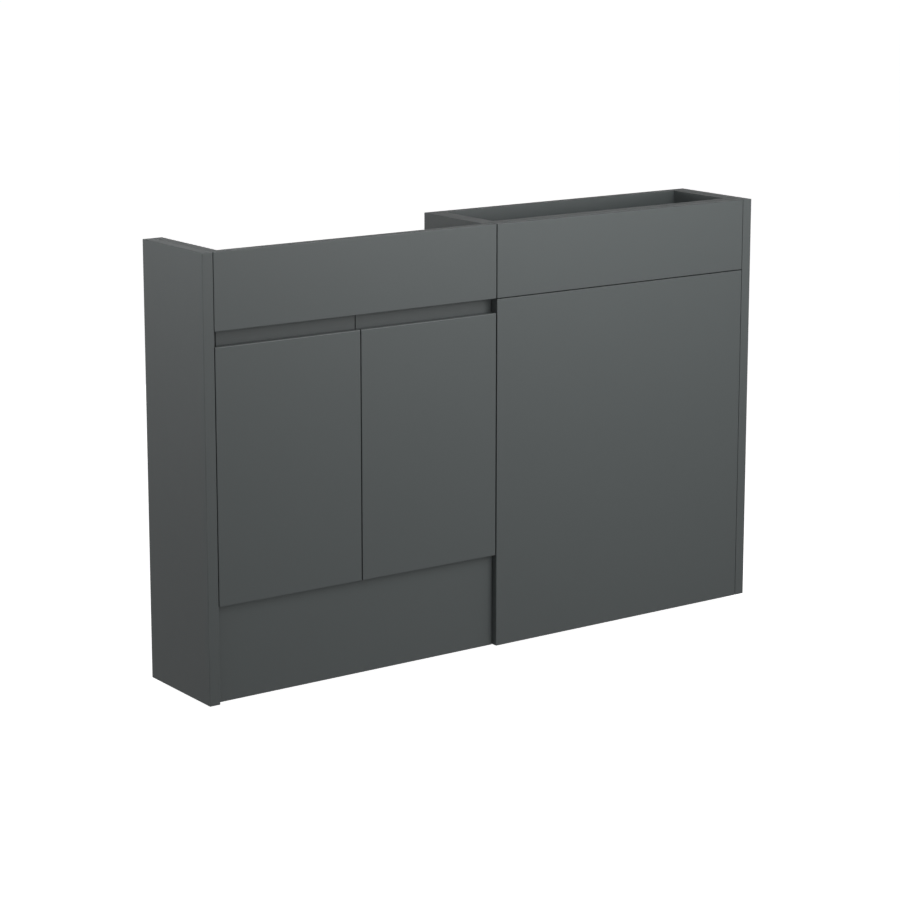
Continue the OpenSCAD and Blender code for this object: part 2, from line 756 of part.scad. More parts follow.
module end_panel_screws() color(zinc_col) place() for (p = end_screw_places) {
  translate([basin_in0, p[0], p[1]]) rotate([0, 0, 90]) screw(board_t + end_bite - tip_gap);
  translate([pan_in1, p[0], p[1]]) rotate([0, 0, -90]) screw(board_t + end_bite - tip_gap);
}

// Concealed hinge

// Repeats a left-hand piece at both hinge heights
module at_hinges() for (z = hinge_z) translate([0, front_t, z]) children();

// Draws an outline in the hinge's u-v plane and gives it thickness along w, centred
module across(w) translate([0, 0, -w / 2]) linear_extrude(w) children();

module disc(p, r) translate(p) circle(r);

// A flat strip of thickness t along the line from p to q, with round ends
module strip_line(p, q, t) {
  d = q - p;
  translate(p) rotate(atan2(d[1], d[0])) translate([0, -t / 2]) square([norm(d), t]);
  disc(p, t / 2);
  disc(q, t / 2);
}

// Flange of the cup on the door's back, with an ear above and below for the screws
cup_ear = 5;
cup_rim = 1.5;
cup_mouth_u = 13.5;
cup_mouth_w = 17.2;
module cup_flange() rotate([-90, 0, 0]) linear_extrude(cup_flange_t) difference() {
  union() {
    disc([cup_u, 0], cup_d / 2 + cup_rim);
    translate([cup_u + 1, -cup_screw_w - cup_ear])
      square([cup_screw_u + cup_ear - cup_u - 1, 2 * (cup_screw_w + cup_ear)]);
  }
  for (w = [-1, 1]) disc([cup_screw_u, w * cup_screw_w], screw_d / 2 + screw_gap);
}

// The cup, its mouth towards the hinge edge, its full-width pin p and the two stubs of pin q
module hinge_cup() {
  difference() {
    union() {
      bar_y([cup_u, -cup_depth + cup_fit, 0], cup_d - 2 * cup_fit, cup_depth - cup_fit);
      cup_flange();
    }
    bar_y([cup_u, -cup_depth + cup_fit + cup_wall, 0], cup_d - 2 * (cup_fit + cup_wall), cup_depth + 2);
    translate([0, 0, -cup_mouth_w / 2]) cube([cup_mouth_u, 2, cup_mouth_w]);
  }
  cup_pin(pin_p);
  difference() {
    cup_pin(pin_q);
    translate([pin_q[0], pin_q[1], -main_hw - side_gap])
      cylinder(h = 2 * (main_hw + side_gap), r = 2 * pin_r);
  }
}

// A pin across the cup, its ends set in the cup's wall
module cup_pin(p) {
  half = sqrt(pow(cup_d / 2 - cup_fit - cup_wall / 2, 2) - pow(cup_u - p[0], 2));
  translate([p[0], p[1], -half]) cylinder(h = 2 * half, r = pin_r);
}

// A strip of thickness t along a list of points
module bent_strip(points, t) for (i = [1 : len(points) - 1]) strip_line(points[i - 1], points[i], t);

// The narrow cranked link that carries the door, with a rolled eye at each end
module main_link() across(2 * main_hw) difference() {
  union() {
    disc(pin_p, eye_r);
    disc(pin_a, eye_r);
    bent_strip(concat([pin_p], main_knees, [pin_a]), link_t);
  }
  disc(pin_p, pin_r + run_gap);
  disc(pin_a, pin_r + run_gap);
}

// Two side plates on one barrel, outside the main link
module guide_link() difference() {
  union() {
    for (w = [-link_hw, link_hw - guide_side_t]) translate([0, 0, w]) linear_extrude(guide_side_t) {
      bent_strip(concat(guide_knees, [pin_b]), link_t);
      disc(pin_b, eye_r);
    }
    across(2 * (link_hw - guide_side_t)) disc(pin_b, eye_r);
  }
  across(2 * link_hw + 2) disc(pin_b, pin_r + run_gap);
}

// Side outline of the hinge arm, from its nose over the links' pins to its tail on the plate
arm_tail_v = plate_v + arm_tail;
arm_top_v = pin_b[1] + arm_top_rise;
arm_low_v = pin_b[1] + arm_low_rise;
module arm_outline() {
  disc(pin_a, eye_r);
  disc(pin_b, eye_r);
  polygon([
    [pin_a[0] - eye_r, pin_a[1]], [pin_a[0] + eye_r, pin_a[1]], [pin_b[0] + eye_r, pin_b[1]],
    [arm_top, arm_top_v], [arm_top, arm_tail_v], [arm_low, arm_tail_v], [arm_low, arm_low_v]
  ]);
}

// Two cheeks, the web between their tails and the two link pins
module hinge_arm() {
  for (w = [-cheek_w0 - cheek_t, cheek_w0]) translate([0, 0, w]) linear_extrude(cheek_t) arm_outline();
  difference() {
    translate([arm_top - cheek_t, arm_top_v, -cheek_w0 - eps])
      cube([cheek_t, arm_tail_v - arm_top_v, 2 * (cheek_w0 + eps)]);
    bar_x([arm_top - 2 * cheek_t, clamp_v, 0], screw_d + 2 * screw_gap, 3 * cheek_t);
  }
  for (p = [pin_a, pin_b])
    translate([p[0], p[1], -cheek_w0 - cheek_t]) cylinder(h = 2 * (cheek_w0 + cheek_t), r = pin_r);
}

// A foot plate with two screws in the gable and a boss that the arm is clamped on
module hinge_plate() difference() {
  union() {
    translate([gable_u, plate_v - plate_h / 2, -plate_hw]) cube([plate_t, plate_h, 2 * plate_hw]);
    translate([gable_u, plate_v - plate_h / 2, -boss_hw])
      cube([arm_top - cheek_t - gable_u, arm_tail_v - plate_v + plate_h / 2, 2 * boss_hw]);
  }
  for (w = [-1, 1])
    bar_x([gable_u - bore_past, plate_v, w * plate_pitch / 2],
          plate_screw_d + 2 * screw_gap, plate_t + 2 * bore_past);
  bar_x([arm_top - boss_h, clamp_v, 0], screw_d + 2 * screw_gap, boss_h);
}

// Screws into the gable and the clamp screw that holds the arm on its plate
module plate_screws() {
  for (w = [-1, 1]) translate([gable_u, plate_v, w * plate_pitch / 2]) {
    bar_x([-plate_bite + tip_gap, 0, 0], plate_screw_d, plate_bite + plate_t - tip_gap);
    bar_x([plate_t, 0, 0], screw_head_d, plate_head_h);
  }
  bar_x([arm_top - boss_h + 2 * tip_gap, clamp_v, 0], screw_d, boss_h - 2 * tip_gap);
  bar_x([arm_top, clamp_v, 0], screw_head_d, clamp_head_h);
}

module cup_screws() for (w = [-1, 1]) translate([cup_screw_u, cup_flange_t, w * cup_screw_w])
  rotate([0, 0, 180]) screw(panel_bite + cup_flange_t - 2 * tip_gap);

module left_hinge_cups() color(zinc_col) left_side() at_hinges() hinge_cup();
module left_hinge_arms() color(zinc_col) left_side() at_hinges() hinge_arm();
module left_hinge_plates() color(zinc_col) left_side() at_hinges() hinge_plate();
module left_main_links() color(steel_col) left_side() at_hinges() main_link();
module left_guide_links() color(steel_col) left_side() at_hinges() guide_link();
module right_hinge_cups() color(zinc_col) right_side() at_hinges() hinge_cup();
module right_hinge_arms() color(zinc_col) right_side() at_hinges() hinge_arm();
module right_hinge_plates() color(zinc_col) right_side() at_hinges() hinge_plate();
module right_main_links() color(steel_col) right_side() at_hinges() main_link();
module right_guide_links() color(steel_col) right_side() at_hinges() guide_link();
module left_cup_screws() color(steel_col) left_side() at_hinges() cup_screws();
module right_cup_screws() color(steel_col) right_side() at_hinges() cup_screws();

module hinge_plate_screws() color(steel_col) {
  left_side() at_hinges() plate_screws();
  right_side() at_hinges() plate_screws();
}

left_end_panel();
right_end_panel();
basin_left_gable();
basin_right_gable();
basin_base_panel();
basin_front_rail();
basin_upper_back_rail();
basin_lower_back_rail();
basin_shelf();
shelf_pins();
left_door();
right_door();
left_grip_strip();
right_grip_strip();
door_bumpers();
basin_fascia();
plinth();
plinth_clips();
plinth_legs();
foot_at(leg_x[0], leg_y[0]);  // foot_front_left
foot_at(leg_x[1], leg_y[0]);  // foot_front_right
foot_at(leg_x[0], leg_y[1]);  // foot_back_left
foot_at(leg_x[1], leg_y[1]);  // foot_back_right
pan_left_gable();
pan_right_gable();
pan_front_panel();
pan_access_fascia();
pan_top_front_rail();
pan_middle_rail();
pan_low_front_rail();
pan_top_back_rail();
pan_low_back_rail();
fascia_studs();
fascia_sockets();
panel_spacers();
panel_screws();
cam_fittings();
cam_bolts();
unit_connectors();
end_panel_screws();
left_hinge_cups();
left_hinge_arms();
left_hinge_plates();
left_main_links();
left_guide_links();
right_hinge_cups();
right_hinge_arms();
right_hinge_plates();
right_main_links();
right_guide_links();
hinge_plate_screws();
left_cup_screws();
right_cup_screws();
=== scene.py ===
import json
import math

import bmesh
import bpy
import numpy as np
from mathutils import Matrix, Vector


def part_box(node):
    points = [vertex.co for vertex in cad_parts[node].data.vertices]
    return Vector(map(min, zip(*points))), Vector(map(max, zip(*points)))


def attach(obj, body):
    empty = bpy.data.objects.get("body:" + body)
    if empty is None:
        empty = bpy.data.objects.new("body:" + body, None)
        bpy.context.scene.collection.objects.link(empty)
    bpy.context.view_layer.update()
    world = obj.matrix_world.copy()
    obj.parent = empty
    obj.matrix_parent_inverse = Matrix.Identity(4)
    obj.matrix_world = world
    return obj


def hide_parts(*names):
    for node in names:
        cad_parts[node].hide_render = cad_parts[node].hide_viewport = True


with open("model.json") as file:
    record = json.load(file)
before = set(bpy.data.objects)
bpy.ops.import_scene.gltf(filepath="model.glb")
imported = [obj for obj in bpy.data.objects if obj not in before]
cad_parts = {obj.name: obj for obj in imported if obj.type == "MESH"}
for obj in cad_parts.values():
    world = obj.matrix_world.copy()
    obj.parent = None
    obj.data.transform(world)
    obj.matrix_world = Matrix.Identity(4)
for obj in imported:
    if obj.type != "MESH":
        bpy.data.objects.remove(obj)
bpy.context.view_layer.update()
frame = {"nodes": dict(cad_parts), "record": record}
nodes = frame["nodes"]


# Gables, base panel, shelf and rails
# The two carcasses are foil-faced chipboard, 18 mm thick, in the colour of the fronts. Their front edges
# carry a glued edging, and the edges that go against the wall are left as sawn, so the chips show.

# Lengths are in metres. Clouds and grains are the waves of a pattern in a metre.
FOIL_COLOUR = (0.047, 0.054, 0.0545)
FOIL_DARKER = (0.043, 0.050, 0.0505)
CARCASS_TONE = 0.95
FOIL_CLOUDS = 30.0
FOIL_PEARL = 1400.0
FOIL_RELIEF = 0.00001
FOIL_ROUGHNESS = 0.44
FOIL_ROUGHER = 0.08
FOIL_ROUGH_CLOUDS = 60.0
FOIL_IOR = 1.5
EDGING_T = 0.0009
GLUE_LINE = 0.00018
GLUE_SHADE = 0.45
CHIP_COLOURS = ((0.0, (0.20, 0.13, 0.07)), (0.45, (0.36, 0.25, 0.14)), (1.0, (0.52, 0.39, 0.24)))
CHIP_GRAIN = 420.0
CHIP_HEIGHT = 12.0
SAWN_ROUGHER = 0.4
SAWN_FACING = 0.7
BOARD_EASE = 0.0003
EASE_SEGMENTS = 2
POINT_GAP = 0.000002
FLAT_ANGLE = math.radians(0.4)
EDGE_ANGLE = math.radians(32.0)

# The Mix node's sockets for a share and two colours, and its output for their mixture, by number.
MIX_SHARE, MIX_FIRST, MIX_SECOND, MIX_COLOUR = 0, 6, 7, 2

body_of = {node: body for body, members in frame["record"]["behaviour"]["bodies"].items() for node in members}


class Value:
    """One output of a shader node, usable in an expression. Each operator adds its Math node."""

    def __init__(self, tree, socket):
        self.tree = tree
        self.socket = socket

    def _math(self, operation, *terms):
        node = self.tree.nodes.new("ShaderNodeMath")
        node.operation = operation
        for place, term in zip(node.inputs, terms):
            if isinstance(term, Value):
                self.tree.links.new(term.socket, place)
            else:
                place.default_value = term
        return Value(self.tree, node.outputs[0])

    def __add__(self, other):
        return self._math("ADD", self, other)

    def __sub__(self, other):
        return self._math("SUBTRACT", self, other)

    def __rsub__(self, other):
        return self._math("SUBTRACT", other, self)

    def __mul__(self, other):
        return self._math("MULTIPLY", self, other)

    def __gt__(self, other):
        return self._math("GREATER_THAN", self, other)

    def __lt__(self, other):
        return self._math("LESS_THAN", self, other)

    def __abs__(self):
        return self._math("ABSOLUTE", self)

    __radd__ = __add__
    __rmul__ = __mul__


class Recipe:
    """The nodes of one finish, or of the sky. Its surface is the material's Principled shader."""

    def __init__(self, tree):
        self.tree = tree
        self.surface = tree.nodes.get("Principled BSDF")

    def node(self, kind, settings, sockets, output=0):
        """Adds a node of a kind, sets its settings, then gives its sockets their values or links."""
        node = self.tree.nodes.new("ShaderNode" + kind)
        for word, value in settings.items():
            if word == "stops":
                self.set_stops(node.color_ramp, value)
            else:
                setattr(node, word, value)
        for place, value in sockets.items():
            self.feed(node.inputs[place], value)
        return Value(self.tree, node.outputs[output])

    def set_stops(self, ramp, stops):
        """Gives a colour ramp its stops, each a place and a colour."""
        while len(ramp.elements) < len(stops):
            ramp.elements.new(1.0)
        for element, (place, colour) in zip(ramp.elements, stops):
            element.position = place
            element.color = (*colour, 1.0)

    def feed(self, place, value):
        """Links a value to a socket, or writes a constant on it."""
        if isinstance(value, Value):
            self.tree.links.new(value.socket, place)
        else:
            place.default_value = value

    def set(self, **values):
        """Gives sockets of the surface, named with _ for a space, their values or links."""
        for word, value in values.items():
            self.feed(self.surface.inputs[word.replace("_", " ")], value)

    def place(self, output="Object"):
        """The place on the piece in metres, or another output of the coordinates, such as the normal."""
        return self.node("TexCoord", {}, {}, output)

    def parts(self, vector):
        """The three parts of a vector or colour."""
        split = self.node("SeparateXYZ", {}, {"Vector": vector})
        return [Value(self.tree, socket) for socket in split.socket.node.outputs]

    def noise(self, scale, detail=2.0):
        """Noise from 0 to 1, with scale waves in a metre."""
        return self.node("TexNoise", {}, {"Vector": self.place(), "Scale": scale, "Detail": detail})

    def wavering(self, base, rise, scale):
        """A number that lies between a base and a rise over it, by noise."""
        return self.noise(scale) * rise + base

    def mixed(self, share, first, second):
        """A colour between two, by share."""
        first = first if isinstance(first, Value) else (*first, 1.0)
        second = second if isinstance(second, Value) else (*second, 1.0)
        sockets = {MIX_SHARE: share, MIX_FIRST: first, MIX_SECOND: second}
        return self.node("Mix", {"data_type": "RGBA"}, sockets, MIX_COLOUR)

    def bump(self, height, depth):
        """A normal from a height that counts in steps of a depth in metres."""
        return self.node("Bump", {}, {"Height": height, "Distance": depth, "Strength": 1.0})


def new_finish(name):
    """A material and the recipe of its nodes."""
    material = bpy.data.materials.new(name)
    material.use_nodes = True
    return material, Recipe(material.node_tree)


def foil_board(name, front=None, sawn_back=False, tone=1.0):
    """Foil with a fine pearl grain, darker where tone is below 1. Behind the edging of a front at y, in
    metres, runs a thin glue line. A sawn back shows chips, whose height counts in the foil's relief."""
    material, recipe = new_finish(name)
    shades = [tuple(tone * part for part in shade) for shade in (FOIL_COLOUR, FOIL_DARKER)]
    colour = recipe.mixed(recipe.noise(FOIL_CLOUDS), *shades)
    pearl = recipe.noise(FOIL_PEARL, detail=1.0)
    roughness = recipe.wavering(FOIL_ROUGHNESS, FOIL_ROUGHER, FOIL_ROUGH_CLOUDS)
    height = pearl
    if front is not None:
        glue = abs(recipe.parts(recipe.place())[1] - front - EDGING_T) < GLUE_LINE / 2
        colour = recipe.mixed(glue, colour, tuple(GLUE_SHADE * part for part in FOIL_DARKER))
    if sawn_back:
        sawn = recipe.parts(recipe.place("Normal"))[1] > SAWN_FACING
        cells = recipe.node("TexVoronoi", {}, {"Vector": recipe.place(), "Scale": CHIP_GRAIN}, "Color")
        chip_shade = recipe.parts(cells)[0]
        chips = recipe.node("ValToRGB", {"stops": CHIP_COLOURS}, {"Fac": chip_shade})
        colour = recipe.mixed(sawn, colour, chips)
        roughness = roughness + sawn * SAWN_ROUGHER
        height = pearl * (1 - sawn) + sawn * chip_shade * CHIP_HEIGHT
    recipe.set(Base_Color=colour, Roughness=roughness, Normal=recipe.bump(height, FOIL_RELIEF), IOR=FOIL_IOR)
    return material


def new_piece(mesh, material, node):
    """Puts a mesh in the scene to stand for a CAD node, on its body and a finish."""
    mesh.materials.clear()
    mesh.materials.append(material)
    mesh.polygons.foreach_set("use_smooth", np.ones(len(mesh.polygons), dtype=bool))
    piece = bpy.data.objects.new(mesh.name, mesh)
    bpy.context.scene.collection.objects.link(piece)
    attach(piece, body_of[node])
    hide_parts(node)
    return piece


def eased(node, name, material, width):
    """Stands for a CAD node with the same shape, its points joined and its edges rounded by width."""
    mesh = nodes[node].data.copy()
    mesh.name = name
    shape = bmesh.new()
    shape.from_mesh(mesh)
    bmesh.ops.remove_doubles(shape, verts=shape.verts, dist=POINT_GAP)
    bmesh.ops.dissolve_limit(shape, angle_limit=FLAT_ANGLE, verts=shape.verts, edges=shape.edges)
    shape.to_mesh(mesh)
    shape.free()
    piece = new_piece(mesh, material, node)
    rounding = piece.modifiers.new("eased_edges", "BEVEL")
    rounding.width = width
    rounding.segments = EASE_SEGMENTS
    rounding.limit_method = "ANGLE"
    rounding.angle_limit = EDGE_ANGLE
    flats = piece.modifiers.new("flat_faces", "WEIGHTED_NORMAL")
    flats.mode = "FACE_AREA"


gable_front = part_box("basin_left_gable")[0][1]
shelf_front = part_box("basin_shelf")[0][1]
SAWN_BOARD = foil_board("foil_board_sawn_back", gable_front, sawn_back=True, tone=CARCASS_TONE)
SHELF_BOARD = foil_board("foil_board_shelf", shelf_front, tone=CARCASS_TONE)
RAIL_BOARD = foil_board("foil_board_rail", tone=CARCASS_TONE)
for board in ("basin_left_gable", "basin_right_gable", "basin_base_panel", "pan_left_gable",
              "pan_right_gable"):
    eased(board, board + "_board", SAWN_BOARD, BOARD_EASE)
eased("basin_shelf", "basin_shelf_board", SHELF_BOARD, BOARD_EASE)
for rail in ("basin_front_rail", "basin_upper_back_rail", "basin_lower_back_rail", "pan_top_front_rail",
             "pan_middle_rail", "pan_low_front_rail", "pan_top_back_rail", "pan_low_back_rail"):
    eased(rail, rail + "_board", RAIL_BOARD, BOARD_EASE)


# Cam fittings, bolts, shelf pins, screws and connectors
# Zinc die castings and plated steel. The cams pull the rails and the base panel to bolts in the gables,
# domed screws with a cross recess hold the fronts and end panels, and two connectors join the units.

ZINC_COLOUR = (0.46, 0.47, 0.49)
NICKEL_COLOUR = (0.62, 0.61, 0.58)
PLATING_CLOUDS = 220.0
WEAR_CLOUDS = 500.0
WEAR_SHARE = 0.5
PLATING_DETAIL = 3.0
CAM_EASE = 0.0002

# Turned pieces have their sizes in millimetres, and an axis leads from a screw's tip to its head. A screw
# is given by its shank's radius, its shank's length and its head, and a head by its radius, its height and
# the height of its rim. The rings of a head lie at shares of its radius.
MM = 0.001
BACKWARDS = (0.0, 1.0, 0.0)
UPRIGHT_SHARE = 0.9
THREAD_PITCH = 1.8
THREAD_CORE = 0.66
THREAD_SLOPE = 3.0
THREAD_STEPS = 6
SCREW_POINT = 3.0
BLUNT_POINT = 0.1
TIP_SHARE = 0.04
RECESS_ARMS = 4
RECESS_REACH = 0.62
RECESS_HALF_W = 0.12
RECESS_DEPTH = 0.65
RECESS_MIDDLE = 1.4
WIDEST_ARM = math.radians(40.0)
HEAD_RINGS = (1.0, 1.0, 0.97, 0.9, 0.8, 0.66, RECESS_REACH, 0.6, 0.4, 0.22, 0.165, 0.06)
DOMED_HEAD = (4.0, 2.08, 0.2)
PANEL_SCREW = (2.0, 30.5, DOMED_HEAD)
END_SCREW = (2.0, 29.5, DOMED_HEAD)
CONNECTOR_HALF = (3.0, 18.0, (7.0, 2.0, 0.9))


def solids(node):
    """Lowest and highest corner of each solid of a CAD node, in metres. Each spot of the mesh has a label,
    and the labels of a triangle sink to the lowest of its three, until those of a whole solid agree."""
    mesh = nodes[node].data
    points = np.empty(3 * len(mesh.vertices))
    mesh.vertices.foreach_get("co", points)
    corners = np.empty(len(mesh.loops), dtype=int)
    mesh.loops.foreach_get("vertex_index", corners)
    spots, spot_of = np.unique(points.reshape(-1, 3), axis=0, return_inverse=True)
    triangles = spot_of.ravel()[corners].reshape(-1, 3)
    label = np.arange(len(spots))
    sunk = np.zeros_like(label)
    while (sunk != label).any():
        sunk = label
        label = sunk.copy()
        np.minimum.at(label, triangles, sunk[triangles].min(axis=1)[:, None])
    groups = [spots[label == first] for first in np.unique(label)]
    return np.array([(group.min(axis=0), group.max(axis=0)) for group in groups])


def inwards(boxes):
    """For each box a direction along x, towards the middle of them all."""
    middle_x = boxes.mean(axis=1)[:, 0]
    return np.sign(middle_x.mean() - middle_x)[:, None] * (1.0, 0.0, 0.0)


def sector_bearings(half_angles, sectors):
    """Bearings of columns round an axis, one row for each half angle, and which columns lie on a slot or
    rib. Each sector starts in the middle of one. Its columns stand at shares of the half angle, in lead,
    plus shares of the land between two slots or ribs, in land, and its last ones go back from the next."""
    lead = np.array([0.0, 0.85, 1.0, 1.0, 1.0, 1.0, 1.0, 1.0, 1.0, 0.85])
    land = np.array([0.0, 0.0, 0.02, 0.35, 0.7, 1.0, 0.7, 0.35, 0.02, 0.0])
    after = np.array([0, 0, 0, 0, 0, 0, 1, 1, 1, 1])
    sector = 2 * math.pi / sectors
    half = np.asarray(half_angles, float)[:, None, None]
    offset = lead * half + land * (sector / 2 - half)
    bearing = sector * (np.arange(sectors)[:, None] + after) + (1 - 2 * after) * offset
    return bearing.reshape(len(half), -1), np.tile(lead < 1, sectors)


def turned(name, shape, boxes, axes):
    """A mesh of closed turned surfaces, one in each box. A point stands at its bearing round the axis, its
    radius out from it and its height along it, in millimetres. The lowest height lies at the end of the
    box from which the axis leads. Each end of the surface closes in a point."""
    bearings, radii, heights = np.broadcast_arrays(*shape)
    rows, columns = radii.shape
    axes = np.broadcast_to(np.asarray(axes, float), (len(boxes), 3))
    half_sizes = (boxes[:, 1] - boxes[:, 0]) / 2
    places = boxes.mean(axis=1) - axes * (half_sizes + MM * heights.min())

    skin = np.stack((radii * np.cos(bearings), radii * np.sin(bearings), heights), -1).reshape(-1, 3)
    ends = np.array([[0.0, 0.0, heights[0].mean()], [0.0, 0.0, heights[-1].mean()]])
    profile = MM * np.vstack((skin, ends))
    aside = np.where(np.abs(axes[:, 2:]) > UPRIGHT_SHARE, (1.0, 0.0, 0.0), (0.0, 0.0, 1.0))
    across = np.cross(axes, aside)
    frames = np.stack((across, np.cross(axes, across), axes), 1)
    points = places[:, None] + profile @ frames

    row, column = np.meshgrid(np.arange(rows - 1), np.arange(columns), indexing="ij")
    here = row * columns + column
    beside = row * columns + (column + 1) % columns
    quads = np.stack((here, beside, beside + columns, here + columns), -1).reshape(-1, 4)
    ring = np.arange(columns)
    after = (ring + 1) % columns
    last = (rows - 1) * columns
    first_fan = np.stack((after, ring, np.full(columns, rows * columns)), -1)
    last_fan = np.stack((last + ring, last + after, np.full(columns, rows * columns + 1)), -1)
    fans = np.vstack((first_fan, last_fan))
    step = len(profile) * np.arange(len(boxes))[:, None, None]

    mesh = bpy.data.meshes.new(name)
    mesh.from_pydata(points.reshape(-1, 3).tolist(), [],
                     (quads + step).reshape(-1, 4).tolist() + (fans + step).reshape(-1, 3).tolist())
    mesh.set_sharp_from_angle(angle=EDGE_ANGLE)
    return mesh


def thread(heights, bearings, radius, pitch):
    """Radii of a screw thread. A ridge winds round a core, one turn for each pitch of height. It is highest
    in the middle of a turn and falls off evenly to both sides."""
    turn = (heights / pitch - bearings / (2 * math.pi)) % 1.0
    ridge = np.clip(1.0 - THREAD_SLOPE * np.abs(turn - 0.5), 0.0, 1.0)
    return radius * (THREAD_CORE + (1.0 - THREAD_CORE) * ridge)


def screw(shank_r, length, head, point=SCREW_POINT):
    """Bearings, radii and heights of a screw, from its tip to the middle of its head. The thread tapers to
    the point. The head is a spherical cap on a low rim, with the radius (r^2 + h^2) / 2h for a cap of
    height h, and the arms of its recess are cut down by a share of its height."""
    head_r, head_h, rim_h = head
    shank_z = np.linspace(-length, 0.0, int(length / THREAD_PITCH * THREAD_STEPS))[:, None]
    shares = np.array(HEAD_RINGS)
    arm_angle = np.arcsin(np.minimum(RECESS_HALF_W / shares, math.sin(WIDEST_ARM)))
    shank_angle = np.full(len(shank_z), arm_angle[0])
    bearings, on_arm = sector_bearings(np.concatenate((shank_angle, arm_angle)), RECESS_ARMS)
    shank = thread(shank_z, bearings[:len(shank_z)], shank_r, THREAD_PITCH)
    shank = shank * np.clip((shank_z + length) / point, TIP_SHARE, 1.0)
    cap_h = head_h - rim_h
    cap_r = (head_r ** 2 + cap_h ** 2) / (2.0 * cap_h)
    dome = np.sqrt(cap_r ** 2 - (head_r * shares) ** 2) + head_h - cap_r
    dome[0] = 0.0
    within_reach = (shares < RECESS_REACH)[:, None]
    in_middle = (shares < RECESS_MIDDLE * RECESS_HALF_W)[:, None]
    crown = np.where(within_reach & (on_arm | in_middle), head_h * (1.0 - RECESS_DEPTH), dome[:, None])
    radii = np.vstack((shank, np.broadcast_to(head_r * shares[:, None], crown.shape)))
    return bearings, radii, np.vstack((np.broadcast_to(shank_z, shank.shape), crown))


def plated(name, colour, cloud, roughness, grain, relief):
    """Metal whose plating is darker by the cloud's share in places and has a fine grain."""
    material, recipe = new_finish(name)
    dull = tuple((1.0 - cloud) * part for part in colour)
    recipe.set(Base_Color=recipe.mixed(recipe.noise(PLATING_CLOUDS), colour, dull), Metallic=1.0,
               Roughness=recipe.wavering(roughness, WEAR_SHARE * cloud, WEAR_CLOUDS),
               Normal=recipe.bump(recipe.noise(grain, PLATING_DETAIL), relief))
    return material


ZINC = plated("zinc_plate", ZINC_COLOUR, cloud=0.2, roughness=0.36, grain=2500.0, relief=0.00002)
NICKEL = plated("nickel_plate", NICKEL_COLOUR, cloud=0.1, roughness=0.24, grain=4000.0, relief=0.000006)
eased("cam_fittings", "cams_with_cross_slots", ZINC, CAM_EASE)
eased("cam_bolts", "cam_bolts_turned", NICKEL, CAM_EASE)
eased("shelf_pins", "shelf_pins_turned", NICKEL, CAM_EASE)

panel_screws = turned("panel_screws_threaded", screw(*PANEL_SCREW), solids("panel_screws"), BACKWARDS)
new_piece(panel_screws, ZINC, "panel_screws")
end_boxes = solids("end_panel_screws")
end_screws = turned("end_panel_screws_threaded", screw(*END_SCREW), end_boxes, inwards(end_boxes))
new_piece(end_screws, ZINC, "end_panel_screws")

# A connector is two halves, whose shanks meet between the gables of the two units.
connector_boxes = solids("unit_connectors")
meeting_x = connector_boxes[:, :, 0].mean()
left_halves = connector_boxes.copy()
left_halves[:, 1, 0] = meeting_x
right_halves = connector_boxes.copy()
right_halves[:, 0, 0] = meeting_x
halves = np.vstack((left_halves, right_halves))
connectors = turned("unit_connectors_turned", screw(*CONNECTOR_HALF, BLUNT_POINT), halves, -inwards(halves))
new_piece(connectors, ZINC, "unit_connectors")


# Levelling legs, feet and plinth clips
# Moulded black polypropylene. Each leg is a tube with eight ribs under its flange. A foot's threaded stem
# screws up into it, and two clips on the back of the plinth snap round the front legs.

BLACK_COLOUR = (0.018, 0.018, 0.019)
MOULD_LIGHTER = 1.25
MOULD_LIFT = 0.004
MOULD_CLOUDS = 90.0
MOULD_ROUGHER = 0.12
MOULD_ROUGH_CLOUDS = 1800.0
MOULD_GRAIN = 1600.0
MOULD_RELIEF = 0.00003
SOFT_DEPTH = 0.002
CLIP_EASE = 0.0004

# Heights of the leg are counted from its lower end, and heights of the foot from the floor.
UP = (0.0, 0.0, 1.0)
BORE_R = 5.06
LEG_R = 15.0
FLANGE_R = 30.0
RIB_COUNT = 8
RIB_FOOT_Z = 68.0
RIB_TOP_Z = 137.9
RIB_TOP_R = 28.0
RIB_HALF_T = 1.0
LEG_PROFILE = np.array([(BORE_R, 137.0), (BORE_R, 68.0), (BORE_R, 0.0), (14.0, 0.0), (LEG_R, 1.0),
                        (LEG_R, 28.0), (LEG_R, RIB_FOOT_Z), (LEG_R, 80.0), (LEG_R, 92.0), (LEG_R, 104.0),
                        (LEG_R, 116.0), (18.0, 127.0), (21.0, RIB_TOP_Z), (29.6, 138.0), (FLANGE_R, 138.4),
                        (FLANGE_R, 142.6), (29.6, 143.0)])
FIRST_OUTER_ROW = 5
PAD_R = 23.0
PAD_PROFILE = np.array([(16.0, 0.0), (22.0, 0.0), (PAD_R, 1.0), (PAD_R, 2.5), (PAD_R, 4.5), (PAD_R, 6.0),
                        (20.0, 9.0), (11.0, 9.0)])
PAD_GRIPS = 12
GRIP_DEPTH = 0.7
FOOT_COLUMNS = 48
HEXAGON_R = 10.0
HEXAGON_Z = (9.0, 20.4, 21.0)
HEXAGON_SHARES = (1.0, 1.0, 0.94)
STEM_R = 5.0
STEM_TOP = 84.0
STEM_PITCH = 2.0


def moulded(name, colour, roughness, soft=0.0):
    """Moulded plastic with the fine grain of a spark-eroded tool. Light spreads a little inside it where
    soft is above 0."""
    material, recipe = new_finish(name)
    lighter = tuple(min(1.0, MOULD_LIGHTER * part + MOULD_LIFT) for part in colour)
    recipe.set(Base_Color=recipe.mixed(recipe.noise(MOULD_CLOUDS), colour, lighter),
               Subsurface_Weight=soft, Subsurface_Scale=SOFT_DEPTH,
               Roughness=recipe.wavering(roughness, MOULD_ROUGHER, MOULD_ROUGH_CLOUDS),
               Normal=recipe.bump(recipe.noise(MOULD_GRAIN, detail=1.0), MOULD_RELIEF))
    return material


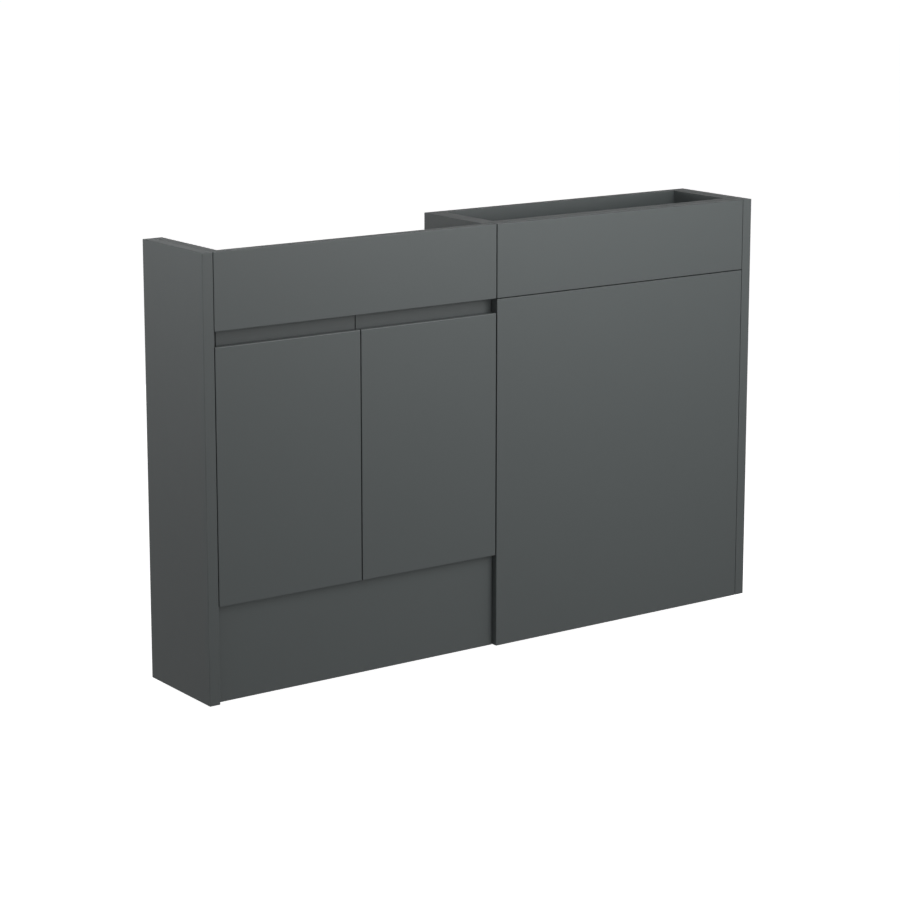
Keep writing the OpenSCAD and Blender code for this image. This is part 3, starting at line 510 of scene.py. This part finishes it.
def round_bearings(columns):
    """One row of even bearings round an axis."""
    return np.linspace(0.0, 2 * math.pi, columns, endpoint=False)[None, :]


def ribbed_leg():
    """Bearings, radii and heights of a leg, down the bore, round the tube's lower end and up the outside to
    the flange. A rib's outer edge runs in a straight line from the tube to near the flange's rim."""
    radii, heights = LEG_PROFILE.T
    climb = np.clip((heights - RIB_FOOT_Z) / (RIB_TOP_Z - RIB_FOOT_Z), 0.0, 1.0)
    rib = np.maximum(LEG_R + (RIB_TOP_R - LEG_R) * climb, radii)
    outside = (np.arange(len(heights)) >= FIRST_OUTER_ROW) & (heights <= RIB_TOP_Z)
    bearings, ribbed = sector_bearings(np.arcsin(RIB_HALF_T / rib), RIB_COUNT)
    return bearings, np.where(outside[:, None] & ribbed, rib[:, None], radii[:, None]), heights[:, None]


def threaded_foot():
    """Bearings, radii and heights of a foot: a round pad with scallops in its rim, a hexagon whose radius
    is its apothem over the cosine of the angle from the middle of a side, and a threaded stem."""
    bearings = round_bearings(FOOT_COLUMNS)
    pad_r, pad_z = PAD_PROFILE.T
    rim = (pad_r == PAD_R)[:, None]
    pad = pad_r[:, None] - rim * GRIP_DEPTH * (0.5 + 0.5 * np.cos(PAD_GRIPS * bearings)) ** 2
    side = math.pi / 3
    hexagon = HEXAGON_R * math.cos(side / 2) / np.cos(bearings % side - side / 2)
    hexagons = hexagon * np.array(HEXAGON_SHARES)[:, None]
    stem_rows = int((STEM_TOP - HEXAGON_Z[-1]) / STEM_PITCH * THREAD_STEPS)
    stem_z = np.linspace(HEXAGON_Z[-1], STEM_TOP, stem_rows)
    stem = thread(stem_z[:, None], bearings, STEM_R, STEM_PITCH)
    heights = np.concatenate((pad_z, HEXAGON_Z, stem_z))
    return bearings, np.vstack((pad, hexagons, stem)), heights[:, None]


BLACK = moulded("black_polypropylene", BLACK_COLOUR, roughness=0.42)
legs = turned("plinth_legs_ribbed", ribbed_leg(), solids("plinth_legs"), UP)
new_piece(legs, BLACK, "plinth_legs")
for corner in ("front_left", "front_right", "back_left", "back_right"):
    foot = turned("foot_" + corner + "_threaded", threaded_foot(), solids("foot_" + corner), UP)
    new_piece(foot, BLACK, "foot_" + corner)
eased("plinth_clips", "plinth_clips_moulded", BLACK, CLIP_EASE)


# End panels, fascias, front panel and plinth
# Lacquered board, 18 mm thick and 21 mm at the ends. All edges of a face are softened before the
# matt lacquer is sprayed, so each edge carries a thin line of light.

LACQUER_COLOUR = (0.053, 0.0605, 0.061)
LACQUER_DARKER = (0.051, 0.0585, 0.059)
LACQUER_CLOUDS = 9.0
LACQUER_ROUGHNESS = 0.44
LACQUER_ROUGHER = 0.06
LACQUER_ROUGH_CLOUDS = 25.0
LACQUER_IOR = 1.48
PEEL_GRAIN = 420.0
PEEL_DETAIL = 1.5
PEEL_RELIEF = 0.000012
FACE_R = 0.001
PLINTH_FACE_R = 0.0005
BACK_R = 0.0004
CORNER_R = 0.0008
EDGE_STEPS = 7
CORNER_STEPS = 5
FLAT_MARGIN = 0.0004
SMALLEST_ARC = 0.00005


def softened_board(node, face_r):
    """A board in the box of a CAD node, ring by ring from its face to its back. Where the depth behind the
    face is r(1 - cos a), the outline stands in by r(1 - sin a), for a from 0 to 90 degrees, and likewise
    at the back. The outline is a rectangle whose corners are arcs, and flat margins keep the faces flat."""
    low, high = (np.array(corner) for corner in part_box(node))
    thickness = high[1] - low[1]
    half_x = (high[0] - low[0]) / 2
    half_z = (high[2] - low[2]) / 2
    middle = np.array([(low[0] + high[0]) / 2, low[1], (low[2] + high[2]) / 2])

    turn = np.linspace(0.0, math.pi / 2, EDGE_STEPS)
    front_in = face_r * (1 - np.sin(turn))
    front_deep = face_r * (1 - np.cos(turn))
    back_in = BACK_R * (1 - np.sin(turn[::-1]))
    back_deep = thickness - BACK_R * (1 - np.cos(turn[::-1]))
    inset = np.concatenate(([face_r + FLAT_MARGIN], front_in, [0, 0], back_in, [BACK_R + FLAT_MARGIN]))
    depth = np.concatenate(([0], front_deep, [face_r + FLAT_MARGIN, thickness - BACK_R - FLAT_MARGIN],
                            back_deep, [thickness]))

    arc = np.arange(4)[:, None] * math.pi / 2 + np.linspace(0.0, math.pi / 2, CORNER_STEPS)
    bearing = np.concatenate((arc[:, :1], arc, arc[:, -1:]), 1)
    slide = np.zeros_like(bearing)
    slide[:, 0] = -FLAT_MARGIN
    slide[:, -1] = FLAT_MARGIN
    side_x = np.array([1, -1, -1, 1])[:, None]
    side_z = np.array([1, 1, -1, -1])[:, None]
    stand_in = inset[:, None, None]
    radius = np.maximum(CORNER_R - stand_in, SMALLEST_ARC)
    x = side_x * (half_x - stand_in - radius) + radius * np.cos(bearing) - slide * np.sin(bearing)
    z = side_z * (half_z - stand_in - radius) + radius * np.sin(bearing) + slide * np.cos(bearing)
    y = np.broadcast_to(depth[:, None, None], x.shape)
    points = middle + np.stack((x, y, z), -1).reshape(-1, 3)

    rings, columns = len(inset), bearing.size
    row, column = np.meshgrid(np.arange(rings - 1), np.arange(columns), indexing="ij")
    here = row * columns + column
    beside = row * columns + (column + 1) % columns
    sides = np.stack((here, here + columns, beside + columns, beside), -1).reshape(-1, 4).tolist()
    face = list(range(columns))
    back = list(range(rings * columns - 1, (rings - 1) * columns - 1, -1))
    mesh = bpy.data.meshes.new(node + "_lacquered")
    mesh.from_pydata(points.tolist(), [], sides + [face, back])
    return mesh


def lacquer():
    """Matt lacquer with a faint orange peel."""
    material, recipe = new_finish("matt_lacquer")
    colour = recipe.mixed(recipe.noise(LACQUER_CLOUDS), LACQUER_COLOUR, LACQUER_DARKER)
    recipe.set(Base_Color=colour, IOR=LACQUER_IOR,
               Roughness=recipe.wavering(LACQUER_ROUGHNESS, LACQUER_ROUGHER, LACQUER_ROUGH_CLOUDS),
               Normal=recipe.bump(recipe.noise(PEEL_GRAIN, PEEL_DETAIL), PEEL_RELIEF))
    return material


LACQUER = lacquer()
for front in ("left_end_panel", "right_end_panel", "basin_fascia", "pan_front_panel", "pan_access_fascia"):
    new_piece(softened_board(front, FACE_R), LACQUER, front)
new_piece(softened_board("plinth", PLINTH_FACE_R), LACQUER, "plinth")


# Push-fit studs, sockets and spacers
# Natural nylon. Four ringed studs are pressed into the back of the access fascia and snap into sockets in
# the rails, and plain spacers hold the fixed fronts off the carcass.

NYLON_COLOUR = (0.72, 0.71, 0.66)
NYLON_EASE = 0.0002

# Heights of the stud are counted from the back of the fascia, where a bore takes its peg.
PEG_R = (3.4, 4.0, 4.0)
PEG_Z = (-9.5, -9.0, 0.0)
STUD_FLANGE_R = (7.2, 7.5, 7.5, 7.3, 3.7)
STUD_FLANGE_Z = (0.0, 0.2, 1.3, 1.5, 1.5)
TOOTH_Z = np.linspace(2.5, 11.5, 28)
TOOTH_PITCH = 3.0
TOOTH_FOOT_R = 3.65
TOOTH_H = 0.35
STUD_TIP_R = (3.6, 2.5, 1.5)
STUD_TIP_Z = (12.4, 13.3, 13.5)
ROUND_COLUMNS = 32


def ringed_stud():
    """Bearings, radii and heights of a stud. Behind the flange its shank swells and drops in saw teeth."""
    tooth_r = TOOTH_FOOT_R + TOOTH_H * (1 - TOOTH_Z / TOOTH_PITCH % 1.0)
    radii = np.concatenate((PEG_R, STUD_FLANGE_R, tooth_r, STUD_TIP_R))
    heights = np.concatenate((PEG_Z, STUD_FLANGE_Z, TOOTH_Z, STUD_TIP_Z))
    return round_bearings(ROUND_COLUMNS), radii[:, None], heights[:, None]


NYLON = moulded("natural_nylon", NYLON_COLOUR, roughness=0.38, soft=0.3)
studs = turned("fascia_studs_ringed", ringed_stud(), solids("fascia_studs"), BACKWARDS)
new_piece(studs, NYLON, "fascia_studs")
eased("fascia_sockets", "fascia_sockets_moulded", NYLON, NYLON_EASE)
eased("panel_spacers", "panel_spacers_moulded", NYLON, NYLON_EASE)


# Doors, grip strips and bumpers
# Each door is lacquered board with a lip and a finger groove along its top. A strip of foil-faced board
# closes the finger gap behind it, and two soft domes on the base panel take the closing knock.

# Painted shade: the strips' foil is darkened by this share to stand for the shade that falls in the finger
# recess behind the door lips.
STRIP_RECESS_SHADE = 0.89
DOOR_EASE = 0.0003
FORWARDS = (0.0, -1.0, 0.0)
BUMPER_R = 4.0
BUMPER_H = 1.5
BUMPER_RINGS = 9
BUMPER_TOP = math.radians(86.0)


def soft_dome():
    """Bearings, radii and heights of a bumper. For an angle a, from 0 to nearly 90 degrees, its radius goes
    as cos a and its height as sin a, so that its last ring, which is small, lies at the full height."""
    swell = np.linspace(0.0, BUMPER_TOP, BUMPER_RINGS)[:, None]
    heights = BUMPER_H * np.sin(swell) / math.sin(BUMPER_TOP)
    return round_bearings(ROUND_COLUMNS), BUMPER_R * np.cos(swell), heights


# The strips' foil carries painted shade for the finger recess, darker than the carcass foil.
STRIP_FOIL_SHADED = foil_board("foil_board_strip_recess_shade", tone=STRIP_RECESS_SHADE)
for side in ("left", "right"):
    eased(side + "_door", side + "_door_lacquered", LACQUER, DOOR_EASE)
    eased(side + "_grip_strip", side + "_grip_strip_board", STRIP_FOIL_SHADED, BOARD_EASE)
bumpers = turned("door_bumper_domes", soft_dome(), solids("door_bumpers"), FORWARDS)
new_piece(bumpers, NYLON, "door_bumpers")


# Concealed hinges
# Pressed and plated steel cups and arms, a die cast mounting plate, and nickel-plated links that turn
# on steel pins. Two hinges carry each door.

PRESSED_EASE = 0.00015
ARM_EASE = 0.0005
PLATE_EASE = 0.0006
CUP_SCREW = (2.0, 11.8, DOMED_HEAD)
PLATE_SCREW = (2.5, 12.7, (4.0, 1.6, 0.5))
ARM_SCREW = (2.0, 7.5, (4.0, 1.8, 1.0))
ADJUSTING_SCREW_SHIFT = (0.0, -17.0, 0.0)

for side in ("left", "right"):
    eased(side + "_hinge_cups", side + "_hinge_cups_pressed", NICKEL, PRESSED_EASE)
    eased(side + "_hinge_arms", side + "_hinge_arms_pressed", NICKEL, ARM_EASE)
    eased(side + "_hinge_plates", side + "_hinge_plates_cast", ZINC, PLATE_EASE)
    eased(side + "_main_links", side + "_main_links_pressed", NICKEL, PRESSED_EASE)
    eased(side + "_guide_links", side + "_guide_links_pressed", NICKEL, PRESSED_EASE)

for side in ("left", "right"):
    cup_boxes = solids(side + "_cup_screws")
    cup_screws = turned(side + "_cup_screws_threaded", screw(*CUP_SCREW), cup_boxes, BACKWARDS)
    new_piece(cup_screws, NICKEL, side + "_cup_screws")

# The long screws of this node hold the plates to the gables. The short ones clamp the arms, and each arm
# has one more in front of its own, which adjusts the door sideways.
hinge_boxes = solids("hinge_plate_screws")
long_ones = hinge_boxes[:, 1, 0] - hinge_boxes[:, 0, 0] > MM * PLATE_SCREW[1]
plate_boxes = hinge_boxes[long_ones]
clamp_boxes = hinge_boxes[~long_ones]
arm_boxes = np.vstack((clamp_boxes, clamp_boxes + MM * np.array(ADJUSTING_SCREW_SHIFT)))
plate_screws = turned("hinge_plate_screws_threaded", screw(*PLATE_SCREW), plate_boxes, inwards(plate_boxes))
new_piece(plate_screws, NICKEL, "hinge_plate_screws")
arm_screws = turned("hinge_arm_screws_threaded", screw(*ARM_SCREW, BLUNT_POINT), arm_boxes,
                    inwards(arm_boxes))
new_piece(arm_screws, NICKEL, "hinge_plate_screws")


# Studio
# A pale floor like a light table, a sky that is white near the horizon, a large soft light high in front,
# a small one on the left and one behind. The floor lies lower by a little more than the travel of the feet,
# so that their pads show when they are screwed out.

FLOOR_HALF = 60.0
FLOOR_DROP = 0.021
FLOOR_COLOUR = (0.50, 0.50, 0.50)
FLOOR_ROUGHNESS = 0.9
FLOOR_GLOW = 1.0
SKY_STOPS = ((0.46, (0.09, 0.09, 0.09)), (0.52, (1.0, 1.0, 1.0)), (0.60, (0.0, 0.0, 0.0)))
SKY_STRENGTH = 3.73

floor_mesh = bpy.data.meshes.new("floor")
floor_corners = [(x * FLOOR_HALF, y * FLOOR_HALF, -FLOOR_DROP)
                 for x, y in ((-1, -1), (1, -1), (1, 1), (-1, 1))]
floor_mesh.from_pydata(floor_corners, [], [(0, 1, 2, 3)])
floor = bpy.data.objects.new("floor", floor_mesh)
bpy.context.scene.collection.objects.link(floor)
floor.visible_diffuse = False
floor.visible_glossy = False
floor_paint, floor_recipe = new_finish("pale_floor")
floor_recipe.set(Base_Color=(*FLOOR_COLOUR, 1.0), Roughness=FLOOR_ROUGHNESS, Specular_IOR_Level=0.0,
                 Emission_Color=(1.0, 1.0, 1.0, 1.0), Emission_Strength=FLOOR_GLOW)
floor_mesh.materials.append(floor_paint)

# The sky's stops go by height, from 0 straight below to 1 straight above, with the horizon at one half.
world = bpy.data.worlds.new("studio_sky")
world.use_nodes = True
sky = Recipe(world.node_tree)
height = sky.parts(sky.place("Generated"))[2] * 0.5 + 0.5
background = world.node_tree.nodes["Background"]
sky.feed(background.inputs["Color"], sky.node("ValToRGB", {"stops": SKY_STOPS}, {"Fac": height}))
background.inputs["Strength"].default_value = SKY_STRENGTH
bpy.context.scene.world = world


def soft_light(name, place, target, size, power):
    """A square area light at a place, turned towards a target."""
    light = bpy.data.lights.new(name, "AREA")
    light.shape = "SQUARE"
    light.size = size
    light.energy = power
    holder = bpy.data.objects.new(name, light)
    bpy.context.scene.collection.objects.link(holder)
    towards = np.array(target) - np.array(place)
    across = math.hypot(towards[0], towards[1])
    holder.location = place
    holder.rotation_euler = (math.atan2(across, -towards[2]), 0.0, math.atan2(-towards[0], towards[1]))
    holder.visible_camera = False


soft_light("key", place=(0.42, -1.15, 1.42), target=(0.25, -0.1, 0.55), size=1.2, power=26.7)
soft_light("side", place=(-1.15, -0.1, 1.35), target=(-0.62, 0.0, 0.6), size=0.5, power=6.4)
soft_light("behind", place=(0.3, 2.6, 0.5), target=(0.0, 0.0, 0.4), size=1.4, power=5.0)

CAMERA_PLACE = (-2.801, -3.8875, 1.452)
CAMERA_PITCH = math.radians(10.86)
CAMERA_YAW = math.radians(35.46)
CAMERA_SHIFT = -0.10
SENSOR_MM = 36.0
FOCAL_PIXELS = 2597.0
PHOTO_PIXELS = 900.0

camera = bpy.data.cameras.new("camera")
camera.sensor_width = SENSOR_MM
camera.lens = SENSOR_MM * FOCAL_PIXELS / PHOTO_PIXELS
camera.shift_y = CAMERA_SHIFT
camera_holder = bpy.data.objects.new("camera", camera)
bpy.context.scene.collection.objects.link(camera_holder)
camera_holder.location = CAMERA_PLACE
camera_holder.rotation_euler = (math.pi / 2 - CAMERA_PITCH, 0.0, -CAMERA_YAW)
bpy.context.scene.camera = camera_holder
bpy.context.scene.view_settings.view_transform = "Standard"
